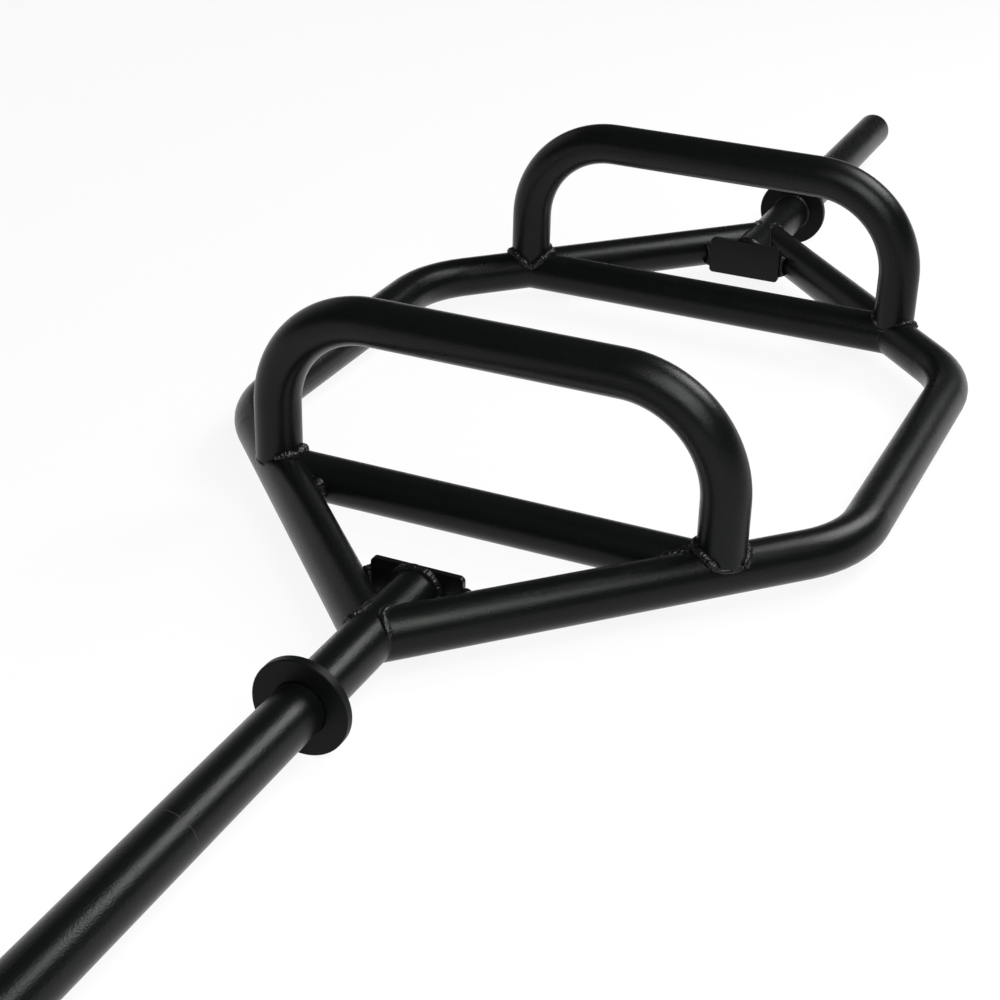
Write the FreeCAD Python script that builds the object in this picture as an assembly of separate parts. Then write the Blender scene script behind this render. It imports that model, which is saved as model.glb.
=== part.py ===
import FreeCAD, Part
import math
import os

Vector = FreeCAD.Vector

# Hex trap bar: a welded hexagon of bent pipe with a loading sleeve at each end.
# X runs along the sleeves, left is -X and right is +X; front is -Y and rear is +Y; Z is up.
# The origin lies under the middle of the bar, level with the lowest points of the two collars.
# All sizes are millimetres.

# Tube stock
pipe_od = 48.3
pipe_wall = 3.7
sleeve_od = 49.2
sleeve_wall = 4.2
core_wall = 5.0

# Hexagon, measured on the tube centre lines
junction_reach = 571.5
side_half_length = 216.0
frame_half_width = 337.0
frame_bend_radius = 128.5

# Handles, measured on the tube centre lines
handle_half_spacing = 320.5
handle_rise = 181.5
handle_bend_radius = 108.0

# Shafts, end plates and collars
shaft_lift = 1.5
plate_width = 94.0
plate_thickness = 6.0
plate_height = 47.5
plate_corner_radius = 5.0
plate_edge_gap = 3.6
collar_standoff = 118.5
collar_od = 91.0
collar_thickness = 9.0
collar_chamfer = 0.8

# Loading sleeves
sleeve_root_length = 193.0
sleeve_tip_length = 235.0
sleeve_chamfer = 0.2
cap_flange = 4.0
cap_chamfer = 1.5
cap_spigot_length = 14.0
core_shaft_engagement = 70.0
core_tip_engagement = 65.0

# Fits and welds
fit_gap = 0.15
root_gap = 1.0
cope_trim = 14.0
weld_leg = 4.5
weld_rise = 4.1
plate_weld_leg = 5.0
edge_weld_reach = 6.0
edge_weld_lap = 2.0
collar_weld_leg = 6.0
weld_toe = 0.8
crown_gap = 6.0

# Places worked out from the sizes above
pipe_radius = pipe_od / 2
pipe_bore_radius = pipe_radius - pipe_wall
sleeve_radius = sleeve_od / 2
sleeve_bore_radius = sleeve_radius - sleeve_wall
core_radius = min(pipe_bore_radius, sleeve_bore_radius) - fit_gap
shaft_z = collar_od / 2
frame_z = shaft_z - shaft_lift
handle_top_z = frame_z + handle_rise
leg_foot_z = frame_z + cope_trim
collar_inner_x = junction_reach + collar_standoff
collar_outer_x = collar_inner_x + collar_thickness
sleeve_seam_x = collar_outer_x + sleeve_root_length
sleeve_end_x = sleeve_seam_x + sleeve_tip_length
bar_end_x = sleeve_end_x + cap_flange

# The diagonals run from the junction to the corner, and the handle legs stand on them
diagonal_run = junction_reach - side_half_length
diagonal_length = math.hypot(diagonal_run, frame_half_width)


def diagonal_y(x):
    """Distance of a diagonal's centre line from the XZ plane at a distance x along the bar."""
    return frame_half_width * (junction_reach - x) / diagonal_run


leg_y = diagonal_y(handle_half_spacing)

# An end plate stands where the room between the two diagonals takes its width and both edge gaps
plate_half_width = plate_width / 2
pipe_half_across = pipe_radius * diagonal_length / diagonal_run
plate_room = plate_half_width + plate_edge_gap + pipe_half_across
plate_outer_x = junction_reach - plate_room * diagonal_run / frame_half_width
plate_inner_x = plate_outer_x - plate_thickness

SIDES = {"left": -1, "right": 1}
ENDS = {"front": -1, "rear": 1}
X_AXIS = Vector(1, 0, 0)
Y_AXIS = Vector(0, 1, 0)
Z_AXIS = Vector(0, 0, 1)


def rounded_path(corners, radius):
    """Wire through the corners, with a tangent arc in place of each inner corner."""
    edges = []
    start = corners[0]
    for before, corner, after in zip(corners, corners[1:], corners[2:]):
        back = (before - corner).normalize()
        onward = (after - corner).normalize()
        half_angle = back.getAngle(onward) / 2
        tangent_length = radius / math.tan(half_angle)
        depth = radius / math.sin(half_angle) - radius
        entry = corner + back * tangent_length
        leave = corner + onward * tangent_length
        middle = corner + (back + onward).normalize() * depth
        edges.append(Part.LineSegment(start, entry).toShape())
        edges.append(Part.Arc(entry, middle, leave).toShape())
        start = leave
    edges.append(Part.LineSegment(start, corners[-1]).toShape())
    return Part.Wire(edges)


def bent_rod(corners, bend_radius, radius):
    """Solid round bar swept along a path with rounded corners."""
    direction = corners[1] - corners[0]
    disc = Part.Face(Part.Wire(Part.makeCircle(radius, corners[0], direction)))
    return rounded_path(corners, bend_radius).makePipe(disc)


def bent_pipe(corners, bend_radius):
    """Length of pipe bent along a path with rounded corners."""
    outside = bent_rod(corners, bend_radius, pipe_radius)
    return outside.cut(bent_rod(corners, bend_radius, pipe_bore_radius))


def turned(outline, side):
    """Piece turned about the shaft axis, from points given as distance along the bar and radius."""
    points = [Vector(side * x, 0, shaft_z + radius) for x, radius in outline]
    face = Part.Face(Part.makePolygon(points + points[:1]))
    return face.revolve(Vector(0, 0, shaft_z), X_AXIS, 360)


def diagonal_rod(side, end, radius):
    """Solid bar along one diagonal of the hexagon, from the junction to the corner."""
    junction = Vector(side * junction_reach, 0, frame_z)
    corner = Vector(side * side_half_length, end * frame_half_width, frame_z)
    return Part.makeCylinder(radius, diagonal_length, junction, corner - junction)


def shaft_rod(radius):
    """Solid bar on the shaft axis, as long as the whole trap bar."""
    return Part.makeCylinder(radius, 2 * bar_end_x, Vector(-bar_end_x, 0, shaft_z), X_AXIS)


def grip_rod(side, radius):
    """Solid bar on the centre line of a lower grip, ending short of the diagonals' centre lines."""
    half_length = leg_y - root_gap
    start = Vector(side * handle_half_spacing, -half_length, frame_z)
    return Part.makeCylinder(radius, 2 * half_length, start, Y_AXIS)


def leg_rod(side, end, radius, below=0.0):
    """Solid upright bar on the centre line of a handle's leg, from its foot or a little below it."""
    start_z = leg_foot_z - below
    start = Vector(side * handle_half_spacing, end * leg_y, start_z)
    return Part.makeCylinder(radius, handle_top_z - start_z, start, Z_AXIS)


def half_space(end, gap):
    """Block filling the front or rear half of the bar's space, from a gap off the XZ plane."""
    depth = frame_half_width + pipe_od
    near_y = gap if end > 0 else -gap - depth
    corner = Vector(-bar_end_x, near_y, frame_z - pipe_od)
    return Part.makeBox(2 * bar_end_x, depth, 2 * pipe_od, corner)


def fillet_weld(first_zone, second_zone, members):
    """Weld metal lying within reach of two members and outside all of them."""
    weld = first_zone.common(second_zone)
    for member in members:
        weld = weld.cut(member)
    return weld


def frame_tube(end):
    """Front or rear half of the hexagon, coped at both ends to the sides of the shafts."""
    corners = [Vector(-junction_reach, 0, frame_z),
               Vector(-side_half_length, end * frame_half_width, frame_z),
               Vector(side_half_length, end * frame_half_width, frame_z),
               Vector(junction_reach, 0, frame_z)]
    tube = bent_pipe(corners, frame_bend_radius)
    tube = tube.cut(shaft_rod(pipe_radius + fit_gap))
    return tube.common(half_space(end, fit_gap / 2))


def lower_grip(side):
    """Straight pipe between the two diagonals, coped to both."""
    grip = grip_rod(side, pipe_radius).cut(grip_rod(side, pipe_bore_radius))
    for end in ENDS.values():
        grip = grip.cut(diagonal_rod(side, end, pipe_radius + fit_gap))
    return grip


def raised_handle(side):
    """Arched pipe whose two legs stand on the diagonals over the ends of the lower grip."""
    x = side * handle_half_spacing
    corners = [Vector(x, -leg_y, leg_foot_z), Vector(x, -leg_y, handle_top_z),
               Vector(x, leg_y, handle_top_z), Vector(x, leg_y, leg_foot_z)]
    handle = bent_pipe(corners, handle_bend_radius)
    for end in ENDS.values():
        handle = handle.cut(diagonal_rod(side, end, pipe_radius + fit_gap))
    return handle.cut(grip_rod(side, pipe_radius + fit_gap))


def shaft(side):
    """Short pipe from the end plate, between the frame tubes, to the outer face of the collar."""
    return turned([(plate_outer_x, pipe_bore_radius), (plate_outer_x, pipe_radius),
                   (collar_outer_x, pipe_radius), (collar_outer_x, pipe_bore_radius)], side)


def plate_block(side, along, across):
    """Block of an end plate across the inner end of a shaft, grown along the bar and across it."""
    near_x = (plate_inner_x if side > 0 else -plate_outer_x) - along
    half_width = plate_half_width + across
    corner = Vector(near_x, -half_width, shaft_z - plate_height / 2)
    return Part.makeBox(plate_thickness + 2 * along, 2 * half_width, plate_height, corner)


def end_plate(side):
    """The plate itself, with its four corners rounded."""
    block = plate_block(side, 0, 0)
    boxes = [(edge, edge.BoundBox) for edge in block.Edges]
    corner_edges = [edge for edge, box in boxes if box.XLength > box.YLength + box.ZLength]
    return block.makeFillet(plate_corner_radius, corner_edges)


def collar(side):
    """Flat disc on the shaft that stops the weight plates, relieved round the foot of the sleeve."""
    bore = pipe_radius + fit_gap
    mouth = max(bore, sleeve_radius) + collar_chamfer
    rim = collar_od / 2
    return turned([(collar_inner_x, bore), (collar_inner_x, rim - collar_chamfer),
                   (collar_inner_x + collar_chamfer, rim), (collar_outer_x - collar_chamfer, rim),
                   (collar_outer_x, rim - collar_chamfer), (collar_outer_x, mouth),
                   (collar_outer_x - mouth + bore, bore)], side)


def sleeve_section(start_x, end_x, side):
    """Length of sleeve tube with both outer edges broken."""
    shoulder = sleeve_radius - sleeve_chamfer
    return turned([(start_x, sleeve_bore_radius), (start_x, shoulder),
                   (start_x + sleeve_chamfer, sleeve_radius), (end_x - sleeve_chamfer, sleeve_radius),
                   (end_x, shoulder), (end_x, sleeve_bore_radius)], side)


def sleeve_core(side):
    """Inner tube that carries the sleeve: it joins the shaft and both sections of the sleeve."""
    start_x = collar_outer_x - core_shaft_engagement
    end_x = sleeve_seam_x + core_tip_engagement
    bore = core_radius - core_wall
    return turned([(start_x, bore), (start_x, core_radius), (end_x, core_radius), (end_x, bore)], side)


def sleeve_cap(side):
    """Round end cap: a flange as wide as the sleeve, and a spigot inside it."""
    spigot = sleeve_bore_radius - fit_gap
    spigot_x = sleeve_end_x - cap_spigot_length
    return turned([(spigot_x, 0), (spigot_x, spigot), (sleeve_end_x, spigot), (sleeve_end_x, sleeve_radius),
                   (bar_end_x - cap_chamfer, sleeve_radius), (bar_end_x, sleeve_radius - cap_chamfer),
                   (bar_end_x, 0)], side)


def leg_weld(side, end):
    """Bead round and under the foot of one handle leg, on the diagonal and on the end of the grip."""
    reach = leg_rod(side, end, pipe_radius + weld_leg, weld_leg)
    diagonal = diagonal_rod(side, end, pipe_radius + weld_rise)
    around = diagonal.fuse(grip_rod(side, pipe_radius + weld_rise))
    members = [leg_rod(side, end, pipe_radius), diagonal_rod(side, end, pipe_radius),
               grip_rod(side, pipe_radius)]
    return fillet_weld(reach, around, members)


def grip_weld(side, end):
    """Bead round one end of the lower grip, on the diagonal."""
    reach = grip_rod(side, pipe_radius + weld_leg).common(half_space(end, 0))
    around = diagonal_rod(side, end, pipe_radius + weld_rise)
    members = [grip_rod(side, pipe_radius), diagonal_rod(side, end, pipe_radius),
               leg_rod(side, end, pipe_radius), leg_weld(side, end)]
    return fillet_weld(reach, around, members)


def frame_weld(side, end):
    """Bead where a frame tube meets the side of a shaft, open along the crown of the shaft."""
    reach = shaft_rod(pipe_radius + weld_leg).common(half_space(end, crown_gap))
    around = diagonal_rod(side, end, pipe_radius + weld_rise)
    members = [shaft_rod(pipe_radius), diagonal_rod(side, end, pipe_radius)]
    return fillet_weld(reach, around, members)


def plate_edge_weld(side, end):
    """Bead that bridges from one upright edge of the end plate to the frame tube beside it."""
    reach = plate_block(side, edge_weld_lap, edge_weld_reach).common(half_space(end, 0))
    around = diagonal_rod(side, end, pipe_radius + edge_weld_reach)
    members = [plate_block(side, 0, 0), diagonal_rod(side, end, pipe_radius)]
    return fillet_weld(reach, around, members)


def ring_weld(face_x, outward, leg, side):
    """Bead round a shaft on a flat face, tapering to a thin toe along the shaft."""
    return turned([(face_x, pipe_radius), (face_x, pipe_radius + leg),
                   (face_x + outward * leg, pipe_radius + weld_toe),
                   (face_x + outward * leg, pipe_radius)], side)


def shaft_plate_weld(side):
    """Bead round the inner end of a shaft, kept within the height of the end plate."""
    ring = ring_weld(plate_outer_x, 1, plate_weld_leg, side)
    return ring.common(plate_block(side, plate_weld_leg, 0))


def collar_weld(side):
    """Bead round the shaft on the inner face of the collar."""
    return ring_weld(collar_inner_x, -1, collar_weld_leg, side)


nodes = {}
for end_name, end in ENDS.items():
    nodes[end_name + "_frame_tube"] = frame_tube(end)
for side_name, side in SIDES.items():
    nodes[side_name + "_shaft"] = shaft(side)
    nodes[side_name + "_end_plate"] = end_plate(side)
    nodes[side_name + "_collar"] = collar(side)
    nodes[side_name + "_sleeve_root"] = sleeve_section(collar_outer_x, sleeve_seam_x, side)
    nodes[side_name + "_sleeve_tip"] = sleeve_section(sleeve_seam_x, sleeve_end_x, side)
    nodes[side_name + "_sleeve_core"] = sleeve_core(side)
    nodes[side_name + "_sleeve_cap"] = sleeve_cap(side)
    nodes[side_name + "_lower_grip"] = lower_grip(side)
    nodes[side_name + "_raised_handle"] = raised_handle(side)
    nodes[side_name + "_collar_weld"] = collar_weld(side)
    nodes[side_name + "_shaft_plate_weld"] = shaft_plate_weld(side)
    for end_name, end in ENDS.items():
        nodes[f"{side_name}_{end_name}_leg_weld"] = leg_weld(side, end)
        nodes[f"{side_name}_{end_name}_grip_weld"] = grip_weld(side, end)
        nodes[f"{side_name}_{end_name}_frame_weld"] = frame_weld(side, end)
        nodes[f"{side_name}_{end_name}_plate_weld"] = plate_edge_weld(side, end)

os.makedirs("parts", exist_ok=True)
for name, shape in nodes.items():
    shape.exportStep("parts/" + name + ".step")
    volumes = " ".join(f"{solid.Volume:.1f}" for solid in shape.Solids)
    print(f"{name}: valid {shape.isValid()}, solids {len(shape.Solids)}, volume {volumes}")
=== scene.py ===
import math

import bpy
from mathutils import Matrix, Vector, kdtree, noise


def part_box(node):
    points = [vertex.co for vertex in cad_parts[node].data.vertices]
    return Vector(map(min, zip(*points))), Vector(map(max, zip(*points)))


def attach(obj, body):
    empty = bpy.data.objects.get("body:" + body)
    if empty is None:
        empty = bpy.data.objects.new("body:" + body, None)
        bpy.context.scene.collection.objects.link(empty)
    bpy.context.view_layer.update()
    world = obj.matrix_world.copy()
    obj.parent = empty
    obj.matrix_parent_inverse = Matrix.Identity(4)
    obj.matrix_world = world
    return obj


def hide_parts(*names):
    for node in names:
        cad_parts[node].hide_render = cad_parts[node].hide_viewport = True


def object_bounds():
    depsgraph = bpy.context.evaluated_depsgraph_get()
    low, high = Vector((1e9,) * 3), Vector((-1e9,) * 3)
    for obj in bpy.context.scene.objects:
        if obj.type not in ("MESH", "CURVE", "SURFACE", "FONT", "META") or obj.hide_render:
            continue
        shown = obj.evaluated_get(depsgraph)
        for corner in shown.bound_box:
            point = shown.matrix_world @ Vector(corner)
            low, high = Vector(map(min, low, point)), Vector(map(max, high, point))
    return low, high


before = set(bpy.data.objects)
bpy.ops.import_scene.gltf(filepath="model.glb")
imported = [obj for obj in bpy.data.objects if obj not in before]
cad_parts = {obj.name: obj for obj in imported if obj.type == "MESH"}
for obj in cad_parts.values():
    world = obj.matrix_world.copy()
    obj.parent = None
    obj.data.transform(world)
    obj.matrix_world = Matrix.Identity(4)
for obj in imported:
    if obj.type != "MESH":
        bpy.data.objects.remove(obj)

bl_info = {
    "name": "Hex trap bar",
    "version": (1, 0, 0),
    "blender": (4, 5, 0),
    "location": "View3D > Sidebar > Trap bar",
    "description": "Coats the tubes of a welded hex trap bar, lays its weld beads and sets it on a stage",
    "category": "Object",
}

CAD_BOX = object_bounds()
SIDES = {"left": -1, "right": 1}
ENDS = {"front": -1, "rear": 1}
MM = 0.001

# Names of the powder coats
PIPE_COAT = "satin black powder coat on pipe"
HANDLE_COAT = "satin black powder coat on handles"
SLEEVE_COAT = "satin black powder coat on sleeves"
DISC_COAT = "matt black powder coat on discs"
WELD_COAT = "glossy black powder coat on weld"
# Each coat's roughness, specular level, and the width and depth of its grain in millimetres
COATS = {
    PIPE_COAT: (0.27, 0.17, 1.6, 0.26),
    HANDLE_COAT: (0.28, 0.17, 1.6, 0.26),
    SLEEVE_COAT: (0.27, 0.17, 1.6, 0.26),
    DISC_COAT: (0.42, 0.1, 1.5, 0.15),
    WELD_COAT: (0.27, 0.25, 1.2, 0.12),
}
# How wide the clouds of more and less gloss are, how far gloss and tone swing either way, and the tint that
# the gloss has
COAT_CLOUD_MM = 60
COAT_GLOSS_SWING = 0.03
COAT_TONE_SWING = 0.25
COAT_GLOSS_TINT = "#f9fff9"

# Other finishes, with their real sizes in millimetres
SEAM_WIDTH_MM = 1.1
SEAM_PATCH_MM = 25
STEEL_LINE_MM = 0.8
STEEL_STRETCH = 0.02
STEEL_DARK_SHARE = 0.8
PAPER_FIBRE_MM = 40
PAPER_DARK_SHARE = 0.985
PAPER_WHITE = "#ffffff"
PAPER_WHITE_SHARE = 0.9

# Size of the bead round each handle's foot, as shares of the bead radius: towards the grip, beside it and
# away from it. Then how far round the leg the first and the last of these reach, from 1, which is a touch,
# to -1, which is all round
FOOT_BEADS = {
    ("left", "front"): (1.3, 0.3, 1.0, -0.2, 0.7),
    ("left", "rear"): (1.4, 0.25, 0.25, 0.4, 0.9),
    ("right", "front"): (0.8, 0.25, 1.05, 0.65, 0.5),
    ("right", "rear"): (1.6, 1.5, 1.3, 0.45, 0.6),
}
# Size of the bead round each grip's end: along the top, and down in the narrow corner
GRIP_BEADS = {
    ("left", "front"): (1.15, 1.1),
    ("left", "rear"): (0.0, 1.5),
    ("right", "front"): (0.0, 1.0),
    ("right", "rear"): (0.0, 1.0),
}
# Size of the bead at the crown of each fork, and how rough it is
CROWN_BEADS = {
    ("left", "front"): (0.85, 0.35),
    ("left", "rear"): (0.85, 1.0),
    ("right", "front"): (0.65, 0.6),
    ("right", "rear"): (0.65, 0.6),
}
# Size of the other beads, and how rough they are
FORK_THIN_SHARE = 0.25
PLATE_BEAD_ROUGHNESS = 0.5
PLATE_RING = (0.95, 0.4)
COLLAR_RING = (0.65, 0.5)

# How a bead sits in its corner: its least radius, the angle below which a corner counts as no narrower, in
# radians, and how far a narrow corner pushes it out and a thin bead sinks in, as shares of its radius
LEAST_BEAD = 1.2 * MM
LEAST_WEDGE = 0.7
NARROW_PUSH = 0.7
THIN_SINK = 0.75

# How a bead swells and how lumpy it is, in shares of its radius where no millimetres are given
BEAD_RESOLUTION = 12
BEAD_FULLNESS = 1.05
SWELL_SIZE = 9 * MM
SWELL_SHARE = 0.25
RIPPLE_SHARE = 0.15
LUMP_SIZE = 1.6 * MM
LUMP_HEIGHT = 3.6 * MM
MERGE_DISTANCE = 0.01 * MM

# How far some beads lie from the line where the surfaces meet, and the least radius under a leg's lip
LIP_DROP = 1.8 * MM
LIP_INSET = 2.2 * MM
LIP_LEAST = 3 * MM
LIP_SHARE = 0.8
GRIP_SINK = 0.9 * MM
GRIP_SETBACK = 0.7 * MM
PLATE_SETBACK = 1.2 * MM
PLATE_OVERLAP = 0.9 * MM
RING_SETBACK = 1.8 * MM

# How far beads reach, in shares of the pipe's radius: out from a leg, up and down the side of a shaft, and up
# and down the edge of a plate. Then how quickly one size of a foot's bead goes over into the next
LEG_COVER = 1.02
FORK_REACH = 0.985
PLATE_REACH = 0.54
FOOT_BLEND = 0.15

# Where beads go over, as the start and the end of each change: a thin one from sunk to level and from smooth
# to lumpy, a grip's from flush to proud, from its wide to its narrow corner and from its top down, and a
# fork's from thin to full, outside and inside the hexagon
SUNK_TO_LEVEL = (0.3, 1.0)
SMOOTH_TO_LUMPY = (0.4, 1.0)
FLUSH_TO_PROUD = (0.2, 0.6)
WIDE_TO_NARROW = (0.0, 0.5)
TOP_TO_LOW = (-0.45, -0.2)
CROWN_OUTSIDE = (0.3, 0.6)
CROWN_INSIDE = (0.93, 1.0)

# Steps along the beads, and the turns round a pipe at which their centres lie
ROUND_STEPS = 220
OPEN_STEPS = 240
PLATE_STEPS = 40
ALL_ROUND = [math.tau * step / ROUND_STEPS for step in range(ROUND_STEPS)]
FROM_TOP = [math.radians(90) + math.tau * step / OPEN_STEPS for step in range(OPEN_STEPS + 1)]
OVER_FORK = [math.radians(-84) + math.radians(348) * step / OPEN_STEPS for step in range(OPEN_STEPS + 1)]
OVER_SHAFT = [math.radians(-72 + 1.5 * step) for step in range(217)]

# The paper's round, and the rise and the spread of each step up its edge
PAPER_RADIUS = 24
PAPER_CORNERS = 96
PAPER_SMOOTHING = math.radians(60)
PAPER_EDGE = ((0.5, 1.08), (0.9, 1.03), (0.9, 1.0))
# Dim light of the room, as a linear colour
WORLD_LIGHT = (0.07, 0.07, 0.072, 1)
# Each lamp's place, width and height in metres, and its power in watts
LAMPS = {
    "softbox near": ((-1.14, -0.8, 1.4), 1.5, 0.9, 33),
    "softbox far": ((1.4, -1.14, 1.92), 1.8, 1.1, 60),
    "bounce card rear": ((0.7, 2.6, 1.1), 2.5, 1.7, 7),
}
# A lamp points at the bar's axis, at this share of its own distance along it
LAMP_AIM_SHARE = 0.4
SENSOR_MM = 36
VIEW_DEPTH = 200


def span(node, axis):
    """Lowest and highest place of a CAD node along one axis."""
    low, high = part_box(node)
    return low[axis], high[axis]


def middle(node, axis):
    """Middle of a CAD node along one axis."""
    return sum(span(node, axis)) / 2


def linear(code):
    """Linear colour of an sRGB hex code."""
    channels = [int(code[i:i + 2], 16) / 255 for i in (1, 3, 5)]
    return tuple(c / 12.92 if c <= 0.04045 else ((c + 0.055) / 1.055) ** 2.4 for c in channels)


def length(name, description, default):
    """Length that shows in Blender's own units."""
    return bpy.props.FloatProperty(name=name, description=description, default=default, unit="LENGTH",
                                   precision=5)


def angle(name, description, degrees):
    """Angle that shows in degrees."""
    return bpy.props.FloatProperty(name=name, description=description, default=math.radians(degrees),
                                   unit="ROTATION")


def colour(name, description, code):
    """Colour given as an sRGB hex code."""
    return bpy.props.FloatVectorProperty(name=name, description=description, default=linear(code), size=3,
                                         subtype="COLOR", min=0, max=1)


class TrapBarSizes(bpy.types.PropertyGroup):
    """Sizes that the weld beads follow, read from the CAD frame where a box gives them."""

    pipe_radius: length("Pipe radius", "Outside radius of the frame's pipe",
                        (span("left_shaft", 1)[1] - span("left_shaft", 1)[0]) / 2)
    frame_height: length("Frame height", "Height of the hexagon's centre lines",
                         middle("front_frame_tube", 2))
    shaft_height: length("Shaft height", "Height of the shafts' axis", middle("left_shaft", 2))
    junction_reach: length("Junction reach", "Where the frame's centre lines meet the bar's axis", 0.5715)
    leg_reach: length("Leg reach", "Distance of the handles from the middle of the bar",
                      middle("right_raised_handle", 0))
    leg_foot: length("Leg foot", "Height at which the handles' legs are cut off square",
                     span("right_raised_handle", 2)[0])
    seam_reach: length("Seam reach", "Distance of the seams in the sleeves from the middle of the bar",
                       span("right_sleeve_root", 0)[1])
    bead_radius: length("Bead radius", "Radius of a weld bead in a square corner", 0.0046)
    ripple_pitch: length("Ripple pitch", "Distance from one ripple of a bead to the next", 0.0031)


class TrapBarFinish(bpy.types.PropertyGroup):
    """Colours of the coat, the bare steel and the stage."""

    coat: colour("Coat", "Black powder coat on the tubes", "#0a0b0b")
    weld: colour("Weld coat", "Black powder coat where it pools on the beads", "#0e0e0e")
    edge: colour("Worn edge", "Rubbed coat along the seams of the sleeves", "#3f3a34")
    steel: colour("Steel", "Bare steel of the hidden cores", "#8c8f92")
    floor: colour("Floor", "Pale studio floor", "#f6f6f6")


class TrapBarStage(bpy.types.PropertyGroup):
    """Camera of the stage."""

    camera_place: bpy.props.FloatVectorProperty(name="Camera", description="Place of the camera", size=3,
                                                default=(-1.87121, -0.69407, 0.95458),
                                                subtype="TRANSLATION")
    camera_azimuth: angle("Azimuth", "Turn of the camera about the upright axis", -66.195)
    camera_elevation: angle("Elevation", "How far the camera looks down", 27.685)
    camera_roll: angle("Roll", "Turn of the camera about its own line of sight", 1.424)
    lens: bpy.props.FloatProperty(name="Lens", default=70.492,
                                  description="Focal length on a 36 mm wide sensor, in millimetres")


def add(tree, kind, settings=None, values=None, links=None):
    """Adds a node with its settings, its socket values and the links into it."""
    node = tree.nodes.new(kind)
    for key, value in (settings or {}).items():
        setattr(node, key, value)
    for key, value in (values or {}).items():
        node.inputs[key].default_value = value
    for key, source in (links or {}).items():
        tree.links.new(source, node.inputs[key])
    return node


def blank(name):
    """New material with an empty node tree."""
    material = bpy.data.materials.new(name)
    material.use_nodes = True
    material.node_tree.nodes.clear()
    return material, material.node_tree


def shaded(share, base):
    """Colour with its light turned down or up to a share, for a socket."""
    return (*(share * c for c in base), 1)


def powder_coat(name, base):
    """Polyester powder coat, sprayed dry and baked: black, satin, pebbled like fine leather.

    The eye sees a soft streak of light along each tube, broken up by the grain. The real grain is finer than
    a pixel of the render, so it is drawn as coarse as COATS gives it, to show.
    Returns the material with its shader and tone nodes, for a coat that is worn somewhere.
    """
    roughness, level, grain_mm, grain_depth_mm = COATS[name]
    material, tree = blank(name)
    place = add(tree, "ShaderNodeTexCoord").outputs["Object"]
    grain = add(tree, "ShaderNodeTexNoise", None,
                {"Scale": 1 / (grain_mm * MM), "Detail": 2.0, "Roughness": 0.55}, {"Vector": place})
    cloud = add(tree, "ShaderNodeTexNoise", None,
                {"Scale": 1 / (COAT_CLOUD_MM * MM), "Detail": 3.0}, {"Vector": place})
    pebble = add(tree, "ShaderNodeBump", None, {"Strength": 1.0, "Distance": grain_depth_mm * MM},
                 {"Height": grain.outputs["Fac"]})
    gloss = add(tree, "ShaderNodeMapRange", None,
                {"From Min": 0.3, "From Max": 0.7,
                 "To Min": roughness - COAT_GLOSS_SWING, "To Max": roughness + COAT_GLOSS_SWING},
                {"Value": cloud.outputs["Fac"]})
    tone = add(tree, "ShaderNodeMix", {"data_type": "RGBA"},
               {"A": shaded(1 - COAT_TONE_SWING, base), "B": shaded(1 + COAT_TONE_SWING, base)},
               {"Factor": grain.outputs["Fac"]})
    shader = add(tree, "ShaderNodeBsdfPrincipled", None,
                 {"IOR": 1.5, "Specular IOR Level": level,
                  "Specular Tint": shaded(1, linear(COAT_GLOSS_TINT))},
                 {"Base Color": tone.outputs["Result"], "Roughness": gloss.outputs["Result"],
                  "Normal": pebble.outputs["Normal"]})
    add(tree, "ShaderNodeOutputMaterial", None, None, {"Surface": shader.outputs["BSDF"]})
    return material, shader, tone


def wear_seam(material, shader, tone, edge, reach):
    """Rubs the coat along the butt seam of a sleeve: a brownish hairline that comes and goes."""
    tree = material.node_tree
    place = add(tree, "ShaderNodeTexCoord").outputs["Object"]
    along = add(tree, "ShaderNodeSeparateXYZ", None, None, {0: place})
    off = add(tree, "ShaderNodeMath", {"operation": "ABSOLUTE"}, None, {0: along.outputs["X"]})
    near = add(tree, "ShaderNodeMath", {"operation": "COMPARE"}, {1: reach, 2: SEAM_WIDTH_MM * MM / 2},
               {0: off.outputs[0]})
    patch = add(tree, "ShaderNodeTexNoise", None, {"Scale": 1 / (SEAM_PATCH_MM * MM), "Detail": 2.0},
                {"Vector": place})
    share = add(tree, "ShaderNodeMath", {"operation": "MULTIPLY"}, None,
                {0: near.outputs[0], 1: patch.outputs["Fac"]})
    worn = add(tree, "ShaderNodeMix", {"data_type": "RGBA"}, {"B": shaded(1, edge)},
               {"Factor": share.outputs[0], "A": tone.outputs["Result"]})
    tree.links.new(worn.outputs["Result"], shader.inputs["Base Color"])


def drawn_steel(name, base):
    """Bare steel tube drawn through a die: grey metal with fine lines along the tube."""
    material, tree = blank(name)
    place = add(tree, "ShaderNodeTexCoord").outputs["Object"]
    along = add(tree, "ShaderNodeMapping", None, {"Scale": (STEEL_STRETCH, 1, 1)}, {"Vector": place})
    lines = add(tree, "ShaderNodeTexNoise", None, {"Scale": 1 / (STEEL_LINE_MM * MM), "Detail": 2.0},
                {"Vector": along.outputs["Vector"]})
    gloss = add(tree, "ShaderNodeMapRange", None, {"To Min": 0.28, "To Max": 0.5},
                {"Value": lines.outputs["Fac"]})
    tone = add(tree, "ShaderNodeMix", {"data_type": "RGBA"},
               {"A": shaded(STEEL_DARK_SHARE, base), "B": shaded(1, base)}, {"Factor": lines.outputs["Fac"]})
    shader = add(tree, "ShaderNodeBsdfPrincipled", None, {"Metallic": 1.0},
                 {"Base Color": tone.outputs["Result"], "Roughness": gloss.outputs["Result"]})
    add(tree, "ShaderNodeOutputMaterial", None, None, {"Surface": shader.outputs["BSDF"]})
    return material


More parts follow.
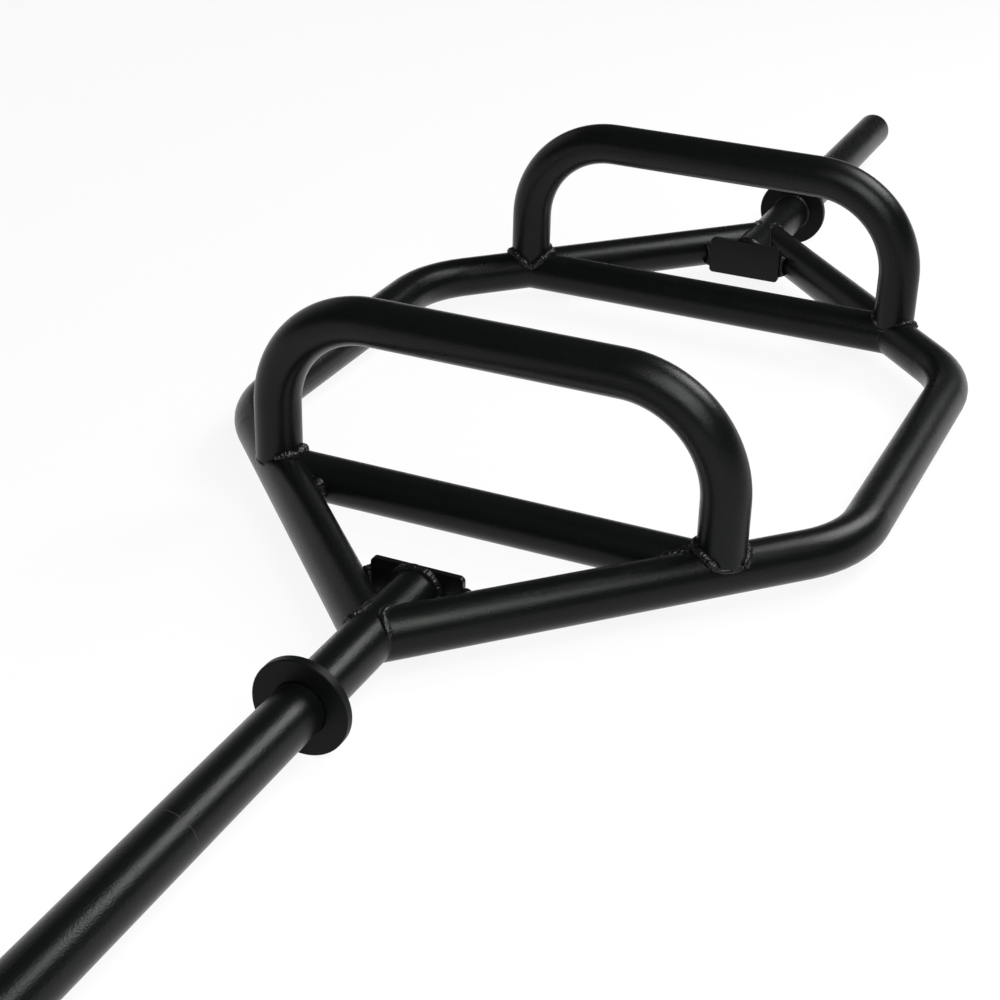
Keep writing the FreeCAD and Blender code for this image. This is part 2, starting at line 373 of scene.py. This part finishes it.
def studio_paper(name, base):
    """Matt white paper: it looks white, in the gloss of the coat too, and keeps a faint shadow of the bar."""
    material, tree = blank(name)
    place = add(tree, "ShaderNodeTexCoord").outputs["Object"]
    fibre = add(tree, "ShaderNodeTexNoise", None, {"Scale": 1 / (PAPER_FIBRE_MM * MM), "Detail": 2.0},
                {"Vector": place})
    tone = add(tree, "ShaderNodeMix", {"data_type": "RGBA"},
               {"A": shaded(PAPER_DARK_SHARE, base), "B": shaded(1, base)}, {"Factor": fibre.outputs["Fac"]})
    matt = add(tree, "ShaderNodeBsdfDiffuse", None, None, {"Color": tone.outputs["Result"]})
    glow = add(tree, "ShaderNodeEmission", None,
               {"Color": shaded(1, linear(PAPER_WHITE)), "Strength": 1.0})
    path = add(tree, "ShaderNodeLightPath").outputs
    seen = add(tree, "ShaderNodeMath", {"operation": "MAXIMUM"}, None,
               {0: path["Is Camera Ray"], 1: path["Is Glossy Ray"]})
    seen = add(tree, "ShaderNodeMath", {"operation": "MAXIMUM"}, None,
               {0: seen.outputs[0], 1: path["Is Transmission Ray"]})
    share = add(tree, "ShaderNodeMath", {"operation": "MULTIPLY"}, {1: PAPER_WHITE_SHARE},
                {0: seen.outputs[0]})
    shader = add(tree, "ShaderNodeMixShader", None, None,
                 {0: share.outputs[0], 1: matt.outputs[0], 2: glow.outputs[0]})
    add(tree, "ShaderNodeOutputMaterial", None, None, {"Surface": shader.outputs[0]})
    return material


def coat_nodes(nodes, material):
    """Gives CAD nodes a better finish in the slot they already have."""
    for node in nodes:
        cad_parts[node].material_slots[0].material = material


def ease(low, high, value):
    """Share from 0 to 1 that rises smoothly between two values."""
    share = min(1.0, max(0.0, (value - low) / (high - low)))
    return share * share * (3 - 2 * share)


def corner_bead(point, first, second, share, sizes):
    """Centre, radius and lumpiness of a bead where two surfaces meet at a point, from their outward normals.

    A narrow corner pushes a full bead out. A thin one is smooth and sinks in, so that only its crest shows.
    """
    radius = max(share * sizes.bead_radius, LEAST_BEAD)
    wedge = math.pi - first.angle(second)
    narrow = max(0.0, 1 / math.sin(max(wedge, LEAST_WEDGE) / 2) - math.sqrt(2))
    push = radius * (NARROW_PUSH * narrow - THIN_SINK * (1 - ease(*SUNK_TO_LEVEL, share)))
    return point + (first + second).normalized() * push, radius, ease(*SMOOTH_TO_LUMPY, share)


def draw_bead(name, run, closed, sizes, roughness):
    """Closed tube along a run of centres, radii and lumpiness, which swells and ripples as a weld does."""
    line = bpy.data.curves.new(name, "CURVE")
    line.dimensions = "3D"
    line.bevel_depth = sizes.bead_radius
    line.bevel_resolution = BEAD_RESOLUTION
    line.use_fill_caps = True
    spline = line.splines.new("POLY")
    spline.points.add(len(run) - 1)
    spline.use_cyclic_u = closed
    travel = 0.0
    for at, (centre, radius, lumpy) in enumerate(run):
        travel += (centre - run[max(at - 1, 0)][0]).length
        ripple = abs(math.sin(math.pi * travel / sizes.ripple_pitch))
        swell = lumpy * (SWELL_SHARE * noise.noise(centre / SWELL_SIZE) - RIPPLE_SHARE * roughness * ripple)
        spline.points[at].co = (*centre, 1)
        spline.points[at].radius = radius / sizes.bead_radius * (BEAD_FULLNESS + swell)
    bead = bpy.data.objects.new(name, line)
    bpy.context.scene.collection.objects.link(bead)

    bpy.ops.object.select_all(action="DESELECT")
    bead.select_set(True)
    bpy.context.view_layer.objects.active = bead
    bpy.ops.object.convert(target="MESH")
    bead = bpy.context.object
    bead.name = bead.data.name = name
    bpy.ops.object.mode_set(mode="EDIT")
    bpy.ops.mesh.select_all(action="SELECT")
    bpy.ops.mesh.remove_doubles(threshold=MERGE_DISTANCE)
    bpy.ops.mesh.normals_make_consistent(inside=False)
    bpy.ops.object.mode_set(mode="OBJECT")
    return bead


def roughen_bead(bead, run, roughness):
    """Raises lumps on a bead, as high at each point as the nearest centre of its run is lumpy."""
    centres = kdtree.KDTree(len(run))
    for at, (centre, _, _) in enumerate(run):
        centres.insert(centre, at)
    centres.balance()
    thick = bead.vertex_groups.new(name="thick")
    for vertex in bead.data.vertices:
        _, at, _ = centres.find(vertex.co)
        thick.add([vertex.index], run[at][2], "REPLACE")
    lumps = bead.modifiers.new("lumps", "DISPLACE")
    lumps.texture = bpy.data.textures["weld lumps"]
    lumps.texture_coords = "GLOBAL"
    lumps.vertex_group = thick.name
    lumps.strength = LUMP_HEIGHT * roughness
    bpy.ops.object.modifier_apply(modifier=lumps.name)
    bpy.ops.object.shade_smooth()


def lay_bead(name, run, closed, node, sizes, roughness=1.0):
    """Weld bead along a joint, in place of its plain CAD fillet."""
    bead = draw_bead(name, run, closed, sizes, roughness)
    roughen_bead(bead, run, roughness)
    bead.data.materials.append(bpy.data.materials[WELD_COAT])
    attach(bead, "root")
    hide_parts(node)


class Joint:
    """Lines along which the pipes of one corner of the bar meet, as runs for their beads."""

    def __init__(self, sizes, side, end):
        self.sizes = sizes
        self.side = SIDES[side]
        self.end = ENDS[end]
        self.plate_node = f"{side}_end_plate"
        self.foot_shares = FOOT_BEADS[side, end]
        self.grip_shares = GRIP_BEADS[side, end]
        self.crown_share, self.crown_roughness = CROWN_BEADS[side, end]
        self.radius = sizes.pipe_radius
        leg_y = span("right_raised_handle", 1)[1] - self.radius
        self.foot = Vector((self.side * sizes.leg_reach, self.end * leg_y, sizes.frame_height))
        self.fork = Vector((self.side * sizes.junction_reach, 0, sizes.frame_height))
        self.along = (self.foot - self.fork).normalized()
        self.across = Vector((-self.along.y, self.along.x, 0))
        if self.across.y * self.end > 0:
            self.across.negate()

    def bead(self, point, first, second, share):
        """Bead in a corner, at a share of its full size."""
        return corner_bead(point, first, second, share, self.sizes)

    def leg(self):
        """Round the foot of the leg, on the diagonal and the grip, and under its lip where one overhangs."""
        run = []
        to_grip, beside, away, grip_reach, away_reach = self.foot_shares
        for turn in ALL_ROUND:
            out = Vector((math.cos(turn), math.sin(turn), 0))
            inward = out.dot(self.across)
            facing = -out.y * self.end
            on_grip = out.x if facing > 0 else 1.0
            lean = inward * self.across if abs(inward) < abs(on_grip) else Vector((on_grip, 0, 0))
            lean.z = math.sqrt(max(0.0, 1 - lean.length_squared))
            point = self.foot + out * self.radius + Vector((0, 0, self.radius * lean.z))
            share = beside
            share += (to_grip - beside) * ease(grip_reach - FOOT_BLEND, grip_reach + FOOT_BLEND, facing)
            share += (away - beside) * ease(away_reach - FOOT_BLEND, away_reach + FOOT_BLEND, -facing)
            centre, radius, lumpy = self.bead(point, out, lean, share)
            if point.z < self.sizes.leg_foot:
                centre = Vector((point.x, point.y, self.sizes.leg_foot - LIP_DROP)) - LIP_INSET * out
                radius = max(LIP_LEAST, LIP_SHARE * radius)
            run.append((centre, radius, lumpy))
        return run

    def grip(self):
        """Round the end of the grip where the leg doesn't cover it: full in the narrow corner, else flush."""
        run = []
        top, corner = self.grip_shares
        for turn in FROM_TOP:
            out = Vector((math.cos(turn), 0, math.sin(turn)))
            reach = (abs(out.x) - out.x * self.across.x) / self.across.y
            point = self.foot + Vector((out.x, reach, out.z)) * self.radius
            lean = Vector((abs(out.x) * self.across.x, abs(out.x) * self.across.y, out.z))
            if out.z < 0 or math.hypot(out.x, reach) > LEG_COVER:
                narrow = ease(*WIDE_TO_NARROW, out.x * self.side)
                low = ease(*TOP_TO_LOW, -out.z)
                share = narrow * (top + (corner - top) * low)
                flush = point - GRIP_SINK * out - Vector((0, GRIP_SETBACK * self.end, 0))
                centre, radius, lumpy = self.bead(point, out, lean, share)
                run.append((flush.lerp(centre, ease(*FLUSH_TO_PROUD, share)), radius, lumpy))
        return run

    def shaft(self):
        """Where the frame tube meets the side of the shaft: full near the crown, thin inside and below."""
        run = []
        lift = (self.sizes.shaft_height - self.sizes.frame_height) / self.radius
        for turn in OVER_FORK:
            lean = self.across * math.cos(turn) + Vector((0, 0, math.sin(turn)))
            rise = lean.z - lift
            if abs(rise) > FORK_REACH:
                continue
            side_y = self.end * math.sqrt(1 - rise * rise)
            travel = (side_y - lean.y) / self.along.y
            point = self.fork + (self.along * travel + lean) * self.radius
            full = ease(*(CROWN_OUTSIDE if math.cos(turn) < 0 else CROWN_INSIDE), lean.z)
            share = FORK_THIN_SHARE + (self.crown_share - FORK_THIN_SHARE) * full
            run.append(self.bead(point, Vector((0, side_y, rise)), lean, share))
        return run

    def plate(self):
        """Up the gap between the edge of the end plate and the frame tube, which the bead fills."""
        run = []
        edge_y = span(self.plate_node, 1)[1]
        outer_x = max(map(abs, span(self.plate_node, 0)))
        axis_y = (self.sizes.junction_reach - outer_x) * abs(self.along.y / self.along.x)
        for step in range(PLATE_STEPS + 1):
            rise = (2 * step / PLATE_STEPS - 1) * PLATE_REACH * self.radius
            gap = axis_y - math.sqrt(self.radius ** 2 - rise ** 2) / abs(self.across.y) - edge_y
            centre = Vector((self.side * (outer_x - PLATE_SETBACK), self.end * (edge_y + gap / 2),
                             self.sizes.frame_height + rise))
            run.append((centre, gap / 2 + PLATE_OVERLAP, 1.0))
        return run


def shaft_ring(sizes, x, face, turns, share):
    """Round a shaft on a flat face that looks along the bar, to the left where face is -1."""
    run = []
    for turn in turns:
        out = Vector((0, math.cos(turn), math.sin(turn)))
        point = Vector((x + face * RING_SETBACK, 0, sizes.shaft_height)) + out * sizes.pipe_radius
        run.append(corner_bead(point, out, Vector((face, 0, 0)), share, sizes))
    return run


class TRAPBAR_OT_coat_frame(bpy.types.Operator):
    """Coats the frame tubes, shafts and end plates"""

    bl_idname = "trapbar.coat_frame"
    bl_label = "Coat frame"

    def execute(self, context):
        coat, _, _ = powder_coat(PIPE_COAT, context.scene.trap_bar_finish.coat)
        nodes = [f"{end}_frame_tube" for end in ENDS]
        nodes += [f"{side}_{piece}" for side in SIDES for piece in ("shaft", "end_plate")]
        coat_nodes(nodes, coat)
        return {"FINISHED"}


class TRAPBAR_OT_coat_handles(bpy.types.Operator):
    """Coats the lower grips and the raised handles"""

    bl_idname = "trapbar.coat_handles"
    bl_label = "Coat handles"

    def execute(self, context):
        coat, _, _ = powder_coat(HANDLE_COAT, context.scene.trap_bar_finish.coat)
        coat_nodes([f"{side}_{piece}" for side in SIDES for piece in ("lower_grip", "raised_handle")], coat)
        return {"FINISHED"}


class TRAPBAR_OT_coat_sleeves(bpy.types.Operator):
    """Coats the collars, the sleeves and their caps, and leaves the cores inside bare"""

    bl_idname = "trapbar.coat_sleeves"
    bl_label = "Coat sleeves"

    def execute(self, context):
        finish = context.scene.trap_bar_finish
        coat, shader, tone = powder_coat(SLEEVE_COAT, finish.coat)
        wear_seam(coat, shader, tone, finish.edge, context.scene.trap_bar_sizes.seam_reach)
        pieces = ("sleeve_root", "sleeve_tip", "sleeve_cap")
        coat_nodes([f"{side}_{piece}" for side in SIDES for piece in pieces], coat)
        coat, _, _ = powder_coat(DISC_COAT, finish.coat)
        coat_nodes([f"{side}_collar" for side in SIDES], coat)
        coat_nodes([f"{side}_sleeve_core" for side in SIDES], drawn_steel("drawn steel tube", finish.steel))
        return {"FINISHED"}


class TRAPBAR_OT_weld_coat(bpy.types.Operator):
    """Makes the coat and the lumps that all the beads share"""

    bl_idname = "trapbar.weld_coat"
    bl_label = "Weld coat"

    def execute(self, context):
        powder_coat(WELD_COAT, context.scene.trap_bar_finish.weld)
        lumps = bpy.data.textures.new("weld lumps", "CLOUDS")
        lumps.noise_scale = LUMP_SIZE
        lumps.noise_depth = 1
        return {"FINISHED"}


class TRAPBAR_OT_handle_beads(bpy.types.Operator):
    """Lays the beads at the feet of the handles and the ends of the grips"""

    bl_idname = "trapbar.handle_beads"
    bl_label = "Handle beads"

    def execute(self, context):
        sizes = context.scene.trap_bar_sizes
        for side in SIDES:
            for end in ENDS:
                joint = Joint(sizes, side, end)
                lay_bead(f"{side}_{end}_leg_bead", joint.leg(), True, f"{side}_{end}_leg_weld", sizes)
                lay_bead(f"{side}_{end}_grip_bead", joint.grip(), False, f"{side}_{end}_grip_weld", sizes)
        return {"FINISHED"}


class TRAPBAR_OT_fork_beads(bpy.types.Operator):
    """Lays the beads where the frame tubes meet the shafts and the end plates"""

    bl_idname = "trapbar.fork_beads"
    bl_label = "Fork beads"

    def execute(self, context):
        sizes = context.scene.trap_bar_sizes
        for side in SIDES:
            for end in ENDS:
                joint = Joint(sizes, side, end)
                lay_bead(f"{side}_{end}_shaft_bead", joint.shaft(), False, f"{side}_{end}_frame_weld", sizes,
                         joint.crown_roughness)
                lay_bead(f"{side}_{end}_plate_bead", joint.plate(), False, f"{side}_{end}_plate_weld", sizes,
                         PLATE_BEAD_ROUGHNESS)
        return {"FINISHED"}


class TRAPBAR_OT_ring_beads(bpy.types.Operator):
    """Lays the beads round the shafts, on the end plates and on the collars"""

    bl_idname = "trapbar.ring_beads"
    bl_label = "Ring beads"

    def execute(self, context):
        sizes = context.scene.trap_bar_sizes
        plate_share, plate_roughness = PLATE_RING
        collar_share, collar_roughness = COLLAR_RING
        for side, outward in SIDES.items():
            plate_x = outward * max(map(abs, span(f"{side}_end_plate", 0)))
            run = shaft_ring(sizes, plate_x, outward, OVER_SHAFT, plate_share)
            lay_bead(f"{side}_plate_ring_bead", run, False, f"{side}_shaft_plate_weld", sizes,
                     plate_roughness)
            collar_x = outward * min(map(abs, span(f"{side}_collar", 0)))
            run = shaft_ring(sizes, collar_x, -outward, ALL_ROUND, collar_share)
            lay_bead(f"{side}_collar_bead", run, True, f"{side}_collar_weld", sizes, collar_roughness)
        return {"FINISHED"}


def lay_paper(finish):
    """White paper under the bar, turned up at its edge."""
    bpy.ops.object.select_all(action="DESELECT")
    bpy.ops.mesh.primitive_circle_add(vertices=PAPER_CORNERS, radius=PAPER_RADIUS, fill_type="NGON")
    sweep = bpy.context.object
    sweep.name = "paper_sweep"
    bpy.ops.object.mode_set(mode="EDIT")
    bpy.ops.mesh.select_all(action="SELECT")
    bpy.ops.mesh.region_to_loop()
    for rise, spread in PAPER_EDGE:
        bpy.ops.mesh.extrude_edges_move(TRANSFORM_OT_translate={"value": (0, 0, rise)})
        bpy.ops.transform.resize(value=(spread, spread, 1), center_override=(0, 0, 0))
    bpy.ops.mesh.select_all(action="SELECT")
    bpy.ops.mesh.normals_make_consistent(inside=True)
    bpy.ops.object.mode_set(mode="OBJECT")
    bpy.ops.object.shade_smooth_by_angle(angle=PAPER_SMOOTHING)
    sweep.data.materials.append(studio_paper("white studio paper", finish.floor))


def turned(right, up, back):
    """Rotation of a lamp or a camera, from the directions of its right, its top and its back."""
    return Matrix((right, up, back)).transposed().to_euler()


def hang_lamps():
    """Dim world, and lamps with their long side level."""
    world = bpy.data.worlds.new("dim studio")
    world.use_nodes = True
    world.node_tree.nodes["Background"].inputs["Color"].default_value = WORLD_LIGHT
    bpy.context.scene.world = world
    aim_z = sum(corner.z for corner in CAD_BOX) / 2
    for name, (place, width, height, watts) in LAMPS.items():
        bpy.ops.object.light_add(type="AREA", location=place)
        lamp = bpy.context.object
        lamp.name = name
        lamp.data.shape = "RECTANGLE"
        lamp.data.size = width
        lamp.data.size_y = height
        lamp.data.energy = watts
        aim = Vector((place[0] * LAMP_AIM_SHARE, 0, aim_z))
        back = (Vector(place) - aim).normalized()
        right = (Vector((1, 0, 0)) - back * back.x).normalized()
        lamp.rotation_euler = turned(right, back.cross(right), back)


def set_camera(stage):
    """Camera at the photograph's place, angle and lens."""
    azimuth = stage.camera_azimuth
    rise = stage.camera_elevation
    roll = stage.camera_roll
    back = Vector((math.sin(azimuth) * math.cos(rise), -math.cos(azimuth) * math.cos(rise), math.sin(rise)))
    level = Vector((math.cos(azimuth), math.sin(azimuth), 0))
    top = back.cross(level)
    right = level * math.cos(roll) + top * math.sin(roll)
    up = top * math.cos(roll) - level * math.sin(roll)
    bpy.ops.object.camera_add(location=stage.camera_place)
    camera = bpy.context.object
    camera.rotation_euler = turned(right, up, back)
    camera.data.sensor_width = SENSOR_MM
    camera.data.lens = stage.lens
    camera.data.clip_end = VIEW_DEPTH
    bpy.context.scene.camera = camera


class TRAPBAR_OT_stage(bpy.types.Operator):
    """Sets up the floor, the light and the camera"""

    bl_idname = "trapbar.stage"
    bl_label = "Stage"

    def execute(self, context):
        context.scene.view_settings.view_transform = "Standard"
        lay_paper(context.scene.trap_bar_finish)
        hang_lamps()
        set_camera(context.scene.trap_bar_stage)
        return {"FINISHED"}


STEPS = (TRAPBAR_OT_coat_frame, TRAPBAR_OT_coat_handles, TRAPBAR_OT_coat_sleeves, TRAPBAR_OT_weld_coat,
         TRAPBAR_OT_handle_beads, TRAPBAR_OT_fork_beads, TRAPBAR_OT_ring_beads, TRAPBAR_OT_stage)
GROUPS = {"trap_bar_sizes": TrapBarSizes, "trap_bar_finish": TrapBarFinish, "trap_bar_stage": TrapBarStage}


class TRAPBAR_PT_steps(bpy.types.Panel):
    """Steps and settings of the trap bar"""

    bl_label = "Hex trap bar"
    bl_idname = "TRAPBAR_PT_steps"
    bl_space_type = "VIEW_3D"
    bl_region_type = "UI"
    bl_category = "Trap bar"

    def draw(self, context):
        for group, kind in GROUPS.items():
            box = self.layout.box()
            for setting in kind.__annotations__:
                box.prop(getattr(context.scene, group), setting)
        for step in STEPS:
            self.layout.operator(step.bl_idname)


def register():
    """Registers the settings, the steps and the panel."""
    for kind in (*GROUPS.values(), *STEPS, TRAPBAR_PT_steps):
        bpy.utils.register_class(kind)
    for group, kind in GROUPS.items():
        setattr(bpy.types.Scene, group, bpy.props.PointerProperty(type=kind))


def unregister():
    """Takes away what register added, in the opposite order."""
    for group in GROUPS:
        delattr(bpy.types.Scene, group)
    for kind in reversed((*GROUPS.values(), *STEPS, TRAPBAR_PT_steps)):
        bpy.utils.unregister_class(kind)


def main():
    """Dresses the CAD frame and sets the stage."""
    register()
    bpy.ops.trapbar.coat_frame()
    bpy.ops.trapbar.coat_handles()
    bpy.ops.trapbar.coat_sleeves()
    bpy.ops.trapbar.weld_coat()
    bpy.ops.trapbar.handle_beads()
    bpy.ops.trapbar.fork_beads()
    bpy.ops.trapbar.ring_beads()
    bpy.ops.trapbar.stage()


if __name__ == "__main__":
    main()
